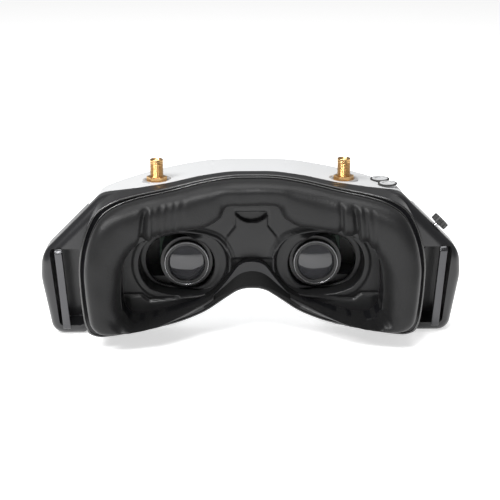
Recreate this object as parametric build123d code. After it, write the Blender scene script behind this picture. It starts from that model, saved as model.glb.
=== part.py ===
"""FPV goggles for a drone pilot, as separate parts in one frame.

Frame: +X towards the wearer's right hand, +Y away from the face, +Z up, in millimetres.
The shapes are drawn with y = 0 on the seam between the two shells, and every part is
moved when it is written, so that the origin is the bottom centre of the whole.
"""
import math
import os

from build123d import *

# ---- driving dimensions -------------------------------------------------------------
HALF_WIDTH = 94.7           # centre plane to the side of a wing
SHELL_TOP = 71.5            # crown of the shells on the centre plane
SHELL_FRONT = 47.0          # seam to the front of the visor
SEAM_Y = 0.0
REAR_FACE = -10.0           # flat rear face that carries the faceplate
WING_FRONT = 7.0            # front of the wings
BODY_HALF = 73.0            # half width of the front shell
VISOR_SIDE_Y = 4.5          # where the visor's arc meets its sides
WALL = 2.2
FLOOR = 2.3                 # underside of the shells
RECESS_TOP = 5.5            # ceiling of the recess in the floor for a focus knob
GAP = 0.3                   # between parts that must not touch

PLATE_EDGE_Y = -16.0        # faceplate's rear edge on the centre plane
PAD_DEPTH = 13.0            # thickness of the foam on the faceplate
SIDE_WRAP = 15.0            # how much further back the faceplate reaches at the temples
WRAP_HALF = 80.0            # half width at which that is measured

LENS_X = 29.2               # half of the smallest eye distance
LENS_Z = 34.0
IPD_TRAVEL = 6.0            # travel of each eyepiece, outwards
LENS_R = 8.4
BARREL_R = 10.2
BARREL_REAR, BARREL_FRONT = -4.0, 14.0
CUP_X, CUP_Z = 30.3, 35.6   # middle of the eye recess's mouth
CUP_R, CUP_HALF = 14.9, 5.5  # radius of its ends, and how far their centres are from its middle
CUP_TAPER = 4.0             # degrees
CARRIAGE_R = 11.8
CARRIAGE_FRONT = 21.5
CUP_FLOOR = 1.0

ROD_R = 1.5
ROD_Y = 14.5
ROD_UPPER_Z = 54.8
ROD_LOWER_Z = 11.6
BRACKET_X = 56.0
RUNNING = 0.06              # radial clearance of parts that slide on each other

PINION_R = 4.0              # pitch radius; the rack's pitch line is this far from the axis
PINION_TEETH = 12
PINION_X, PINION_Y = 41.0, 9.5
RACK_LOW, RACK_HIGH = 16.2, 19.6
RACK_REAR = 5.5
KNOB_R = 7.0

SMA_X, SMA_Y = 42.5, 11.0
SMA_R, SMA_NECK = 3.175, 2.8
SMA_TOP = 79.0
SMA_SEAT = 68.4
RECEIVER_Z = 60.0

BUTTON_R = 3.6
BUTTONS = {"menu_button": (59.5, 14.5), "record_button": (62.0, 5.8)}
BUTTON_TOP = 68.6
DIAL_AT = (82.6, -1.5, 49.6)
DIAL_WAY = (0.695, 0.0, 0.719)
DIAL_R = 4.0

FAN_Z, FAN_R = 53.0, 9.4
FAN_REAR, FAN_FRONT = 0.5, 7.5

parts = {}


# ---- helpers ------------------------------------------------------------------------
def both_sides(half):
    """A closed outline from its right half, listed from the top down to the bottom."""
    return half + [(-x, z) for x, z in reversed(half)]


def upright(y):
    """The vertical plane at y, seen from the wearer's side, so that it extrudes to -Y."""
    return Plane(origin=(0, y, 0), x_dir=(1, 0, 0), z_dir=(0, -1, 0))


def slab(corners, radii, y_front, y_back):
    """A plate with rounded corners between y_back and y_front."""
    face = make_face(FilletPolyline(*corners, radius=radii, close=True))
    return extrude(upright(y_front) * face, amount=y_front - y_back)


def rod(radius, start, end):
    """A round bar from one point to another."""
    way = Vector(*end) - Vector(*start)
    return extrude(Plane(origin=start, z_dir=way) * Circle(radius), amount=way.length)


def block(low, high):
    """A box from its lowest to its highest corner."""
    size = [b - a for a, b in zip(low, high)]
    middle = [(a + b) / 2 for a, b in zip(low, high)]
    return Pos(*middle) * Box(*size)


def plan_band(rear_points, front_points, low=-20.0, high=110.0):
    """What lies between two arcs in plan, each given by its left, middle and right points."""
    rear = ThreePointArc(*rear_points)
    front = ThreePointArc(*front_points)
    ends = [Line(rear @ 0, front @ 0), Line(rear @ 1, front @ 1)]
    face = make_face([rear, front, *ends])
    return extrude(Plane(origin=(0, 0, low)) * face, amount=high - low)


def mirrored(shape):
    """The same shape on the wearer's left."""
    return mirror(shape, about=Plane.YZ)


def pair(name, shape):
    """Right and left copies of a part, as two nodes."""
    parts[name + "_right"] = shape
    parts[name + "_left"] = mirrored(shape)


# ---- outlines, right halves from the top down ---------------------------------------
NOSE = [(40.0, FLOOR), (26.0, 9.3), (10.0, 23.0)]
BODY_ROOF = [(20, SHELL_TOP), (46, SHELL_TOP - 2.5), (67, 66.6)]
WING_HALF = BODY_ROOF + [
    (93.9, 40.0), (HALF_WIDTH, 29), (90.0, FLOOR), (75.5, FLOOR), (73, 5.0), (44, 7.2), (18, 15.8), (9.5, 24)]
WING_RADII = [120, 120, 10, 13, 24, 6, 2, 2, 30, 20, 8]
PLATE_OUTLINE = [
    (10, 78.2), (23, 76.2), (37, 73.0), (50, 71.0), (60, 68.9), (67.5, 64.8), (71.8, 57), (74.3, 48.5),
    (75.4, 40), (75.0, 27), (73.8, 15), (72, 9.3), (67.5, 7.2), (60, 7.2), (44, 8.8), (31, 11.5),
    (20.5, 15.6), (12, 21.5), (5, 26)]
PAD_OUTLINE = [
    (10, 76.8), (23, 74.7), (36.5, 71.4), (49, 69.4), (58, 67.1), (64.8, 63.2), (69, 56), (71.4, 48),
    (72.6, 40), (72.0, 27), (70.7, 15.5), (67.5, 11.6), (62, 10.9), (44, 12.5), (31, 15.0), (20.5, 19.0),
    (12, 24.2), (5, 28.2)]
INNER_OUTLINE = [
    (12.2, 64.8), (12.8, 59.5), (19, 55.2), (31, 53.8), (43, 51.9), (52.5, 47.3), (56.9, 39), (58, 27),
    (57.2, 17), (53.6, 13.3), (47.5, 12.9), (40, 14.9), (28.5, 18.6), (17.5, 22.4), (10.8, 30), (5, 38.3)]


def eased(half, reach=0.4, largest=60.0):
    """Both sides of an outline, with arcs at its corners as large as its sides allow."""
    corners = both_sides(half)
    radii = []
    for k, here in enumerate(corners):
        back = Vector(*corners[k - 1]) - Vector(*here)
        ahead = Vector(*corners[(k + 1) % len(corners)]) - Vector(*here)
        run = reach * min(back.length, ahead.length)
        radii.append(min(largest, run * math.tan(math.radians(back.get_angle(ahead)) / 2)))
    return corners, radii


def wing_slab(front, back):
    """A plate of the rear shell's outline."""
    return slab(both_sides(WING_HALF), WING_RADII + WING_RADII[::-1], front, back)


def body_outline(inset=0.0):
    """The front shell's outline, drawn in by inset."""
    half = [(x - inset * 0.4, z - inset) for x, z in BODY_ROOF]
    half += [(BODY_HALF - inset, 58), (BODY_HALF - inset, FLOOR + inset)]
    half += [(x + 0.5 * inset, z + inset) for x, z in NOSE]
    radii = [120, 120, 7 - inset, 12 - inset, 6 - inset, 14, 30, 8]
    return both_sides(half), radii + radii[::-1]


def visor(inset=0.0, back=SEAM_Y):
    """The front shell's outside, or its inside when drawn in by inset."""
    corners, radii = body_outline(inset)
    solid = slab(corners, radii, SHELL_FRONT + 5, back)
    half, side = BODY_HALF, VISOR_SIDE_Y - inset
    return solid & plan_band(
        ((-half, -60), (0, -61), (half, -60)),
        ((-half, side), (0, SHELL_FRONT - inset), (half, side)),
    )


def face_arc(depth):
    """The faceplate's rear edge in plan, or an arc that lies depth behind it."""
    side = PLATE_EDGE_Y - SIDE_WRAP - depth
    return ((-WRAP_HALF, side), (0, PLATE_EDGE_Y - depth), (WRAP_HALF, side))


def curved_layer(corners, radii, front, back):
    """A layer behind the shells that follows the wearer's brow, between two face arcs."""
    return slab(corners, radii, REAR_FACE, -60) & plan_band(face_arc(back), front)


def outset(half, amount):
    """The flat face of an eased outline, grown by amount."""
    corners, radii = eased(half)
    return offset(make_face(FilletPolyline(*corners, radius=radii, close=True)), amount=amount)


def angular_outset(half, amount):
    """The flat face inside an outline's straight sides, moved out by amount, with sharp corners."""
    corners = [Vector(*corner) for corner in both_sides(half)]
    moved = []
    for k, here in enumerate(corners):
        back = (here - corners[k - 1]).normalized()
        ahead = (corners[(k + 1) % len(corners)] - here).normalized()
        out = Vector(-back.Y - ahead.Y, back.X + ahead.X)
        moved.append(here + out * (amount / (1 + back.dot(ahead))))
    return make_face(Polyline(*moved, close=True))


def long_hole(middle, half, radius, start, depth, taper=0.0):
    """A long round-ended hole on the wearer's right, from start towards the front."""
    x, z = middle
    face = Plane(origin=(0, start, 0), x_dir=(-1, 0, 0), z_dir=(0, 1, 0)) * (
        Pos(-x, z) * SlotCenterToCenter(2 * half, 2 * radius))
    return extrude(face, amount=depth, taper=taper)


def eye_cup(margin, start, depth, taper=CUP_TAPER):
    """The eye recess, grown by margin."""
    return long_hole((CUP_X, CUP_Z), CUP_HALF, CUP_R + margin, start, depth, taper)


def along_y(radius, x, z, rear, front):
    """A round bar parallel to Y."""
    return rod(radius, (x, rear, z), (x, front, z))


# ---- shells -------------------------------------------------------------------------
VENT_COUNT, VENT_PITCH = 7, 4.0
PORT_X, PORT_Y, PORT_R = 45.5, 24.2, 3.2
SCREW_BOSS, SCREW_CORE = 2.6, 1.0
SCREWS = ((69.2, 47.0), (69.2, 6.5), (-69.2, 47.0), (-69.2, 6.5))


def knob_recess(side, margin=0.0):
    """The room in the floor for a focus knob and its travel."""
    reach = KNOB_R + 1.5 + margin
    low, high = sorted((side * (PINION_X - reach), side * (PINION_X + IPD_TRAVEL + reach)))
    return block((low, PINION_Y - reach, -1), (high, PINION_Y + reach, RECESS_TOP + margin))


def knob_slot(side):
    """The slot in the recess that a focus shaft slides along."""
    low, high = sorted((side * (PINION_X - 2.5), side * (PINION_X + IPD_TRAVEL + 2.5)))
    return block((low, PINION_Y - 2.5, 0), (high, PINION_Y + 2.5, RECESS_TOP + WALL + 1))


def front_shell():
    """The white visor: roof, front, sides and floor, open at the seam."""
    outer = visor()
    rim = outer.edges().filter_by(lambda e: e.center().Y > VISOR_SIDE_Y + 1)
    rounded = fillet(rim, 4)
    solid = rounded - visor(WALL, back=SEAM_Y - 5)
    sill = block((-BODY_HALF, SEAM_Y, -1), (BODY_HALF, SEAM_Y + WALL, 30)) & rounded
    solid += sill - wing_slab(SEAM_Y + 5, SEAM_Y - 5)
    for side in (1, -1):
        solid += knob_recess(side, WALL) & rounded
        solid -= knob_recess(side) + knob_slot(side)
        solid -= rod(SMA_R + 0.1, (side * SMA_X, SMA_Y, 60), (side * SMA_X, SMA_Y, 80))
        solid -= rod(6.5, (side * SMA_X, SMA_Y, SMA_SEAT), (side * SMA_X, SMA_Y, 80))
    for x, y in BUTTONS.values():
        solid -= rod(BUTTON_R + GAP, (x, y, 60), (x, y, 80))
    for k in range(VENT_COUNT):
        x = (k - (VENT_COUNT - 1) / 2) * VENT_PITCH
        solid -= block((x - 0.9, SHELL_FRONT - 8, 48), (x + 0.9, SHELL_FRONT + 2, 60))
    solid -= rod(PORT_R, (-PORT_X, PORT_Y, 0), (-PORT_X, PORT_Y, 6))
    solid -= block((PORT_X - 6, PORT_Y - 2, 0), (PORT_X + 6, PORT_Y + 2, 6))
    for x, z in SCREWS:
        solid += along_y(SCREW_BOSS, x, z, 0.2, 8) & rounded
        solid -= along_y(SCREW_CORE, x, z, -1, 7)
    return solid


STRAP_TOP, STRAP_FOOT = (86.0, 43.5), (83.4, 6.0)
POCKET_IN, POCKET_OUT, POCKET_DEPTH = 76.2, 90.2, 13.5
BAR_HALF, BAR_REAR, BAR_FRONT = 2.0, -11.6, -8.0


def strap_pocket():
    """The pocket in a wing that the head strap passes through, under its bar."""
    corners = [(POCKET_IN, 43.0), (POCKET_OUT, 43.0), (POCKET_OUT - 3.6, 7.0), (POCKET_IN - 0.8, 7.0)]
    return slab(corners, [2, 2, 2, 2], REAR_FACE + POCKET_DEPTH, REAR_FACE - 1)


def bar_solid():
    """The flat bar that the strap wraps round, from the top of the pocket to its foot."""
    (top_x, top_z), (foot_x, foot_z) = STRAP_TOP, STRAP_FOOT
    corners = [
        (top_x - BAR_HALF, top_z), (top_x + BAR_HALF, top_z),
        (foot_x + BAR_HALF, foot_z), (foot_x - BAR_HALF, foot_z)]
    return slab(corners, [BAR_HALF * 0.9] * 4, BAR_FRONT, BAR_REAR)


def rear_shell():
    """The black housing with its two wings, open in front and pierced for the optics."""
    solid = wing_slab(WING_FRONT, REAR_FACE)
    solid = fillet(solid.faces().sort_by(Axis.Y)[0].edges(), 5)
    solid = fillet(solid.faces().sort_by(Axis.Y)[-1].edges(), 2.5)
    middle = block((-BODY_HALF - 0.2, SEAM_Y, -5), (BODY_HALF + 0.2, WING_FRONT + 1, 90))
    solid -= middle
    corners, radii = body_outline(WALL)
    hollow = slab(corners, radii, SEAM_Y + 1, REAR_FACE + WALL)
    solid -= hollow & Pos(0, 0, WALL + 0.4) * wing_slab(SEAM_Y + 2, REAR_FACE)
    opening = angular_outset(INNER_OUTLINE, PANEL_MARGIN + GAP / 2)
    solid -= extrude(upright(0) * opening, amount=20)
    for cut in (strap_pocket(), bar_solid(), eye_cup(1.6, REAR_FACE - 1, 14, 0)):
        solid -= cut + mirrored(cut)
    solid -= dial_rod(1.4, -30, 10)
    solid -= dial_rod(4.3, -30, -2.2)
    for x, z in SCREWS:
        solid += along_y(SCREW_BOSS, x, z, REAR_FACE + 1, SEAM_Y)
        solid -= along_y(SCREW_CORE + 0.3, x, z, REAR_FACE - 1, SEAM_Y + 1)
        solid -= along_y(SCREW_BOSS - 0.4, x, z, REAR_FACE - 1, REAR_FACE + 1.6)
    return solid


PANEL_MARGIN = 3.0


def dial_rod(radius, low, high):
    """A round bar on the dial's axis, between two distances from the wing's slope."""
    at, way = Vector(*DIAL_AT), Vector(*DIAL_WAY).normalized()
    return rod(radius, tuple(at + way * low), tuple(at + way * high))


def shell_screws():
    """Four countersunk screws from the rear face into the front shell's bosses."""
    screws = []
    for x, z in SCREWS:
        head = along_y(SCREW_BOSS - 0.6, x, z, REAR_FACE + 0.2, REAR_FACE + 1.6)
        head -= block((x - 1.4, REAR_FACE, z - 0.3), (x + 1.4, REAR_FACE + 0.8, z + 0.3))
        head -= block((x - 0.3, REAR_FACE, z - 1.4), (x + 0.3, REAR_FACE + 0.8, z + 1.4))
        screws.append(head + along_y(SCREW_CORE - 0.05, x, z, REAR_FACE + 1.6, 6.5))
    return Compound(screws)


# ---- face side ----------------------------------------------------------------------
def faceplate():
    """The curved plastic frame that carries the foam, hollow from the front."""
    front = ((-WRAP_HALF, 5), (0, 6), (WRAP_HALF, 5))
    solid = curved_layer(*eased(PLATE_OUTLINE), front, 0)
    solid -= slab(*eased(INNER_OUTLINE), 0, -60)
    hollow = extrude(upright(0) * outset(PLATE_OUTLINE, -2.2), amount=60)
    hollow -= extrude(upright(1) * outset(INNER_OUTLINE, 2.2), amount=62)
    return solid - (hollow & plan_band(face_arc(-2.4), ((-WRAP_HALF, 8), (0, 9), (WRAP_HALF, 8))))


def soft_ring(depth):
    """The foam's whole outline, between the faceplate and depth behind it."""
    solid = curved_layer(*eased(PAD_OUTLINE), face_arc(0), depth)
    return solid - slab(*eased(INNER_OUTLINE), 0, -60)


NOSE_ZONE = (15.5, 45.0)


def nose_zone(margin=0.0):
    """The space over the wearer's nose, where the foam gives way to a thin guard."""
    half, top = NOSE_ZONE
    return block((-half - margin, -80, 0), (half + margin, 0, top + margin))


def face_pad():
    """The leather-covered foam ring, without its nose part."""
    return soft_ring(PAD_DEPTH) - nose_zone(GAP)


def nose_guard():
    """The thin soft flap over the nose."""
    return soft_ring(4.0) & nose_zone()


def eye_panel():
    """The inner panel with a tapered recess and a long opening for each eyepiece."""
    plate = extrude(upright(REAR_FACE + 2) * angular_outset(INNER_OUTLINE, PANEL_MARGIN), amount=2)
    cup = eye_cup(1.5, REAR_FACE, CUP_FLOOR + 1.6 - REAR_FACE)
    plate += cup + mirrored(cup)
    hole = eye_cup(0, REAR_FACE - 0.01, CUP_FLOOR - REAR_FACE)
    middle = (LENS_X + IPD_TRAVEL / 2, LENS_Z)
    hole += long_hole(middle, IPD_TRAVEL / 2, CARRIAGE_R + 0.5, REAR_FACE + 1, 14)
    plate -= hole + mirrored(hole)
    vent = block((-5, REAR_FACE - 1, 59.6), (5, REAR_FACE + 3, 60.6))
    return plate - vent


def bridge_cover():
    """The six-sided cover over the bridge, with a crescent air outlet at its top."""
    half = [(7.0, 61.5), (7.4, 55.5), (10.6, 50.5), (9.4, 44.0), (8.6, 40.8)]
    corners = both_sides(half)
    cover = slab(corners, [0.6] * 10, REAR_FACE - 0.01, REAR_FACE - 1.6)
    crescent = along_y(9.5, 0, 66.2, REAR_FACE - 3, REAR_FACE + 1)
    inner = slab(*eased(INNER_OUTLINE), 0, -60)
    return (cover - crescent) & inner


# ---- optics -------------------------------------------------------------------------
def gear_outline(teeth, pitch_r, share):
    """A simple spur gear's corners; share is the tooth's part of the pitch."""
    module = 2 * pitch_r / teeth
    corners = []
    for k in range(teeth):
        middle = 2 * math.pi * k / teeth
        half = math.pi / teeth * share
        for radius, spread in (
            (pitch_r - 1.1 * module, -1.2), (pitch_r + 0.75 * module, -0.5),
            (pitch_r + 0.75 * module, 0.5), (pitch_r - 1.1 * module, 1.2),
        ):
            angle = middle + half * spread
            corners.append((radius * math.cos(angle), radius * math.sin(angle)))
    return corners


def focus_rack():
    """The toothed bar under a lens barrel that its focus pinion drives."""
    pitch = 2 * math.pi * PINION_R / PINION_TEETH
    module = pitch / math.pi
    line = PINION_X - PINION_R
    rear, front = RACK_REAR, BARREL_FRONT - 0.3
    corners = [(line - 4, front), (line - 4, rear), (line - 1.1 * module, rear)]
    for k in range(-2, 2):
        y = PINION_Y + (k + 0.5) * pitch
        for away, side in ((-1.1, -0.34), (0.75, -0.12), (0.75, 0.12), (-1.1, 0.34)):
            corners.append((line + away * module, y + side * pitch))
    corners.append((line - 1.1 * module, front))
    return extrude(Plane(origin=(0, 0, RACK_LOW)) * make_face(Polyline(*corners, close=True)),
                   amount=RACK_HIGH - RACK_LOW)


def lens_barrel():
    """The focusing tube, with its rack, open for the lens and the light path."""
    tube = along_y(BARREL_R, LENS_X, LENS_Z, BARREL_REAR, BARREL_FRONT)
    tube -= along_y(LENS_R + 0.9, LENS_X, LENS_Z, BARREL_REAR - 1, BARREL_REAR + 2.2)
    tube -= along_y(LENS_R, LENS_X, LENS_Z, BARREL_REAR, BARREL_REAR + 7.2)
    tube -= along_y(LENS_R - 1.2, LENS_X, LENS_Z, BARREL_REAR, BARREL_FRONT + 1)
    low_x, high_x = PINION_X - PINION_R - 4, PINION_X - PINION_R - 1
    web = block((low_x, RACK_REAR, RACK_HIGH - 0.1), (high_x, BARREL_FRONT - 0.3, LENS_Z - 7.0))
    web -= along_y(LENS_R + 1, LENS_X, LENS_Z, BARREL_REAR, BARREL_FRONT + 1)
    return tube + web + focus_rack()


def lens():
    """A thick convex eyepiece lens."""
    rear, front = BARREL_REAR + 2.2, BARREL_REAR + 7.2
    disc = along_y(LENS_R - 0.02, LENS_X, LENS_Z, rear - 1.8, front)
    ball_r = 28.0
    return disc & Pos(LENS_X, rear - 1.8 + ball_r, LENS_Z) * Sphere(ball_r)


def lens_ring():
    """The ring that keeps the lens in its barrel."""
    ring = along_y(LENS_R + 0.88, LENS_X, LENS_Z, BARREL_REAR, BARREL_REAR + 2.2)
    return ring - along_y(LENS_R + 0.05, LENS_X, LENS_Z, BARREL_REAR - 1, BARREL_REAR + 3)


def carriage():
    """The sliding block that holds a barrel and a display and runs on two rods."""
    solid = along_y(CARRIAGE_R, LENS_X, LENS_Z, -1.0, CARRIAGE_FRONT)
    solid += block((PINION_X - 9.8, 3.4, 13.2), (PINION_X + 7.0, CARRIAGE_FRONT, 26.0))
    solid += block((PINION_X - 6.6, 3.4, 8.3), (PINION_X + 7.0, CARRIAGE_FRONT - 2.0, 14.0))
    solid += block((LENS_X - 8, 10.0, LENS_Z), (LENS_X + 8, 19.0, ROD_UPPER_Z + 4))
    solid -= along_y(BARREL_R + RUNNING, LENS_X, LENS_Z, -5, CARRIAGE_FRONT + 1)
    low_x, high_x = PINION_X - 8.6, PINION_X + 5.4
    solid -= block((low_x, 0, RACK_LOW - 0.6), (high_x, CARRIAGE_FRONT + 1, RACK_HIGH + 0.6))
    web_x = PINION_X - PINION_R - 0.6
    solid -= block((low_x, 0, RACK_HIGH), (web_x, BARREL_FRONT + 3, LENS_Z - 7.0))
    solid -= rod(2.0 + RUNNING, (PINION_X, PINION_Y, 5), (PINION_X, PINION_Y, RACK_LOW))
    solid -= rod(ROD_R + RUNNING, (0, ROD_Y, ROD_UPPER_Z), (60, ROD_Y, ROD_UPPER_Z))
    solid -= rod(ROD_R + RUNNING, (20, ROD_Y, ROD_LOWER_Z), (60, ROD_Y, ROD_LOWER_Z))
    return solid


def display():
    """The micro display in the front end of the carriage's bore."""
    holder = along_y(BARREL_R + RUNNING, LENS_X, LENS_Z, 17.6, 20.0)
    window = block((LENS_X - 8, 17, LENS_Z - 5), (LENS_X + 8, 18.4, LENS_Z + 5))
    return holder - window


def display_glass():
    """The display's lit window."""
    return block((LENS_X - 7.9, 17.7, LENS_Z - 4.9), (LENS_X + 7.9, 18.39, LENS_Z + 4.9))


def display_board():
    """The driver board on the front of a carriage."""
    board = block((LENS_X - 13, CARRIAGE_FRONT, LENS_Z - 10), (LENS_X + 13, CARRIAGE_FRONT + 1.2, LENS_Z + 14))
    return board + block((LENS_X - 7, CARRIAGE_FRONT + 1.2, LENS_Z + 5), (LENS_X + 7, CARRIAGE_FRONT + 2.6, LENS_Z + 9))


def focus_knob():
    """The ribbed disc under the floor, with its shaft."""
    disc = rod(KNOB_R, (PINION_X, PINION_Y, FLOOR + 0.4), (PINION_X, PINION_Y, RECESS_TOP - 0.4))
    ribs = 24
    for k in range(ribs):
        angle = 2 * math.pi * k / ribs
        x = PINION_X + KNOB_R * math.cos(angle)
        y = PINION_Y + KNOB_R * math.sin(angle)
        disc -= rod(0.45, (x, y, 0), (x, y, RECESS_TOP))
    return disc + rod(2.0, (PINION_X, PINION_Y, RECESS_TOP - 0.4), (PINION_X, PINION_Y, RACK_LOW + 0.1))


def focus_pinion():
    """The pinion on top of a focus shaft."""
    face = make_face(Polyline(*gear_outline(PINION_TEETH, PINION_R, 0.66), close=True))
    return extrude(Plane(origin=(PINION_X, PINION_Y, RACK_LOW + 0.1)) * face, amount=RACK_HIGH - RACK_LOW - 0.2)


def guide_rod_upper():
    """The long rod that both carriages hang from."""
    end = BRACKET_X + 4
    return rod(ROD_R, (-end, ROD_Y, ROD_UPPER_Z), (end, ROD_Y, ROD_UPPER_Z))


def guide_rod_lower():
    """The short rod that keeps a carriage upright."""
    return rod(ROD_R, (33.6, ROD_Y, ROD_LOWER_Z), (BRACKET_X + 4, ROD_Y, ROD_LOWER_Z))


def rod_bracket():
    """The post on the eye panel that holds the outer ends of the rods."""
    low, high = BRACKET_X, BRACKET_X + 4
    post = block((low, ROD_Y - 4, RECESS_TOP + WALL + 0.1), (high, ROD_Y + 3, ROD_UPPER_Z + 3))
    for z in (19.0, 39.0):
        post += block((low, REAR_FACE + 2, z), (high, ROD_Y - 4, z + 4))
    for z in (ROD_UPPER_Z, ROD_LOWER_Z):
        post -= rod(ROD_R + 0.01, (low - 1, ROD_Y, z), (high + 1, ROD_Y, z))
    return post


# ---- electronics --------------------------------------------------------------------
def main_board():
    """The video board behind the visor's front."""
    board = block((-40, 26.5, 26), (40, 28.1, 57))
    for x, z, half, tall in ((-28, 46, 5, 5), (28, 46, 5, 5), (-28, 33, 4, 3), (28, 33, 6, 3)):
        board += block((x - half, 28.1, z - tall), (x + half, 29.6, z + tall))
    return board


def heat_sink():
    """The finned block on the main processor."""
    solid = block((-14, 28.1, 30), (14, 31, 54))
    for k in range(8):
        x = -14 + k * 3.75
        solid += block((x, 31, 30), (x + 1.2, 38, 54))
    return solid


def receiver_board():
    """The radio board under the roof that carries both antenna sockets."""
    return block((-50, 9.2, RECEIVER_Z), (50, 17.5, RECEIVER_Z + 1.2))


def receiver_shields():
    """The two tin cans over the radio circuits."""
    cans = [block((x - 11, 10, RECEIVER_Z + 1.2), (x + 11, 17, RECEIVER_Z + 4.2)) for x in (22, -22)]
    return Compound(cans)


def sma_connector():
    """An antenna socket: flange, threaded barrel and centre contact hole."""
    seat = RECEIVER_Z + 1.2
    body = block((SMA_X - 3.6, SMA_Y - 1.8, seat), (SMA_X + 3.6, SMA_Y + 3.6, seat + 1.6))
    body += rod(SMA_NECK, (SMA_X, SMA_Y, seat + 1.6), (SMA_X, SMA_Y, SMA_SEAT + 2.6))
    body += rod(SMA_R, (SMA_X, SMA_Y, SMA_SEAT + 2.6), (SMA_X, SMA_Y, SMA_TOP))
    body -= rod(2.3, (SMA_X, SMA_Y, SMA_TOP - 0.4), (SMA_X, SMA_Y, SMA_TOP + 1))
    return body - rod(0.45, (SMA_X, SMA_Y, SMA_TOP - 1.6), (SMA_X, SMA_Y, SMA_TOP + 1))


def sma_dish():
    """The recessed ring on the roof around an antenna socket."""
    ring = rod(6.4, (SMA_X, SMA_Y, SMA_SEAT), (SMA_X, SMA_Y, SMA_SEAT + 1.0))
    ring -= rod(SMA_NECK, (SMA_X, SMA_Y, SMA_SEAT - 1), (SMA_X, SMA_Y, SMA_SEAT + 2))
    return ring - rod(5.3, (SMA_X, SMA_Y, SMA_SEAT + 0.4), (SMA_X, SMA_Y, SMA_SEAT + 2))


def sma_nut():
    """The hexagon nut that clamps an antenna socket to the roof."""
    low = SMA_SEAT + 0.4
    nut = extrude(Plane(origin=(SMA_X, SMA_Y, low)) * RegularPolygon(4.0, 6, major_radius=False), amount=2.2)
    return nut - rod(SMA_NECK, (SMA_X, SMA_Y, low - 1), (SMA_X, SMA_Y, low + 4))


def button_cap(x, y):
    """A round key with a dished top."""
    cap = rod(BUTTON_R, (x, y, BUTTON_TOP - 4.6), (x, y, BUTTON_TOP))
    cap -= rod(2.4, (x, y, BUTTON_TOP - 0.4), (x, y, BUTTON_TOP + 1))
    return cap


def button_switch(x, y):
    """The tact switch under a key."""
    low = BUTTON_TOP - 9.0
    base = block((x - 2.4, y - 2.4, low), (x + 2.4, y + 2.4, low + 2.4))
    return base + rod(1.5, (x, y, low + 2.4), (x, y, low + 3.2))


def button_board():
    """The small board that carries both key switches."""
    low = BUTTON_TOP - 10.2
    return block((56.0, 2.6, low), (65.0, 17.0, low + 1.2)) & visor(WALL + 1, back=0.5)


def dial_stem():
    """The pressed stem of the side dial."""
    return dial_rod(1.2, -7.0, 4.6)


def dial_knob():
    """The ribbed turning cap of the side dial."""
    knob = dial_rod(DIAL_R, 2.4, 5.2) - dial_rod(1.25, 0, 4.7)
    at, way = Vector(*DIAL_AT), Vector(*DIAL_WAY).normalized()
    across = Vector(0, 1, 0)
    up = way.cross(across)
    ribs = 16
    for k in range(ribs):
        angle = 2 * math.pi * k / ribs
        rim = at + across * (DIAL_R * math.cos(angle)) + up * (DIAL_R * math.sin(angle))
        knob -= rod(0.35, tuple(rim + way * 2), tuple(rim + way * 6))
    return knob


def dial_encoder():
    """The rotary encoder inside the wing that the stem runs in."""
    return dial_rod(4.1, -9.5, -2.6) - dial_rod(1.25, -8.5, 0)


def fan_frame():
    """The square fan frame with its spokes and bearing pin."""
    half = 10.4
    frame = block((-half, FAN_REAR, FAN_Z - half), (half, FAN_FRONT, FAN_Z + half))
    frame -= along_y(FAN_R, 0, FAN_Z, FAN_REAR - 1, FAN_FRONT + 1)
    hub = along_y(3.4, 0, FAN_Z, FAN_FRONT - 1.0, FAN_FRONT)
    for k in range(3):
        angle = math.radians(90 + 120 * k)
        spoke = block((-0.7, FAN_FRONT - 1.0, 3.0), (0.7, FAN_FRONT, FAN_R + 0.6))
        hub += Pos(0, 0, FAN_Z) * Rot(0, math.degrees(angle), 0) * spoke
    return frame + hub + along_y(0.8, 0, FAN_Z, FAN_REAR + 1.6, FAN_FRONT - 0.5)


def fan_rotor():
    """The fan's hub and blades."""
    rear, front = FAN_REAR + 0.4, FAN_FRONT - 1.4
    rotor = along_y(3.6, 0, FAN_Z, rear, front)
    for k in range(7):
        blade = Pos(0, (rear + front) / 2, 5.9) * Rot(0, 0, 32) * Box(0.7, 5.0, 5.8)
        rotor += Pos(0, 0, FAN_Z) * Rot(0, 360 / 7 * k, 0) * blade
    return rotor - along_y(0.85, 0, FAN_Z, rear + 1.0, front + 1)


def power_jack():
    """The round power inlet in the floor, with its centre contact."""
    low = FLOOR + WALL + 0.4
    jack = block((-PORT_X - 4.2, PORT_Y - 3.6, low), (-PORT_X + 4.2, PORT_Y + 3.6, low + 8))
    jack += rod(PORT_R - 0.1, (-PORT_X, PORT_Y, FLOOR + 0.2), (-PORT_X, PORT_Y, low + 1))
    jack -= rod(2.7, (-PORT_X, PORT_Y, 0), (-PORT_X, PORT_Y, low + 6))
    return jack + rod(1.0, (-PORT_X, PORT_Y, FLOOR + 1), (-PORT_X, PORT_Y, low + 6.1))


def video_port():
    """The flat video socket in the floor."""
    port = block((PORT_X - 5.8, PORT_Y - 1.8, FLOOR + 0.2), (PORT_X + 5.8, PORT_Y + 1.8, 11.5))
    return port - block((PORT_X - 5.0, PORT_Y - 1.2, 0), (PORT_X + 5.0, PORT_Y + 1.2, 9.5))


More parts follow.
